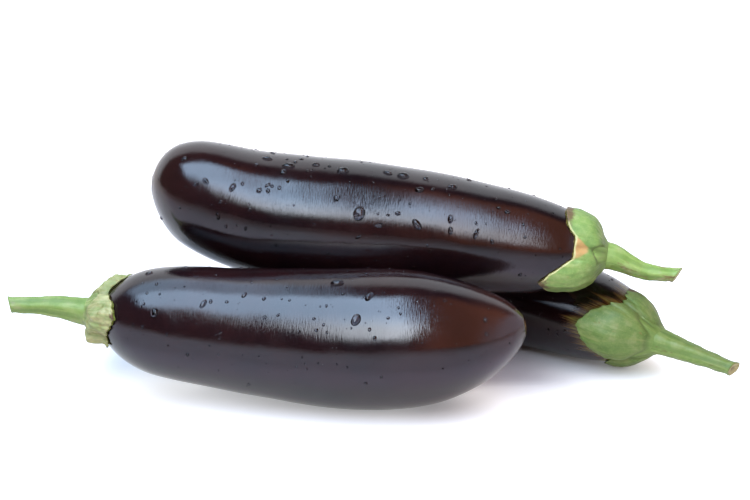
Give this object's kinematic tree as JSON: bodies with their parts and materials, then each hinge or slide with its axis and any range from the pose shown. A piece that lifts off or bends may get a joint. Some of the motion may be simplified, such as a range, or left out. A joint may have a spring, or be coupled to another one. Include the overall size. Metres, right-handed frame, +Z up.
{
  "type": "stacked eggplants",
  "caption": "Long glossy purple eggplants in a loose pile, one lying across the others, each with a green lobed calyx and a cut stem.",
  "frame": {"origin": "middle of the pile's own bounding box, on the table it rests on", "axes": "+X along the front fruit, from its stem end to its blossom end; +Y away from the viewer, towards the fruit at the back; +Z up"},
  "size_m": [0.3486, 0.2084, 0.1142],
  "materials": {
    "eggplant_skin": "glossy, near black purple, waxy",
    "calyx": "satin, finely wrinkled green",
    "stem": "satin, ribbed pale green"
  },
  "bodies": {
    "root": {"front_fruit": "eggplant_skin", "top_fruit": "eggplant_skin", "back_fruit": "eggplant_skin", "front_calyx": "calyx", "top_calyx": "calyx", "back_calyx": "calyx", "front_stem": "stem", "top_stem": "stem", "back_stem": "stem"}
  },
  "joints": []
}
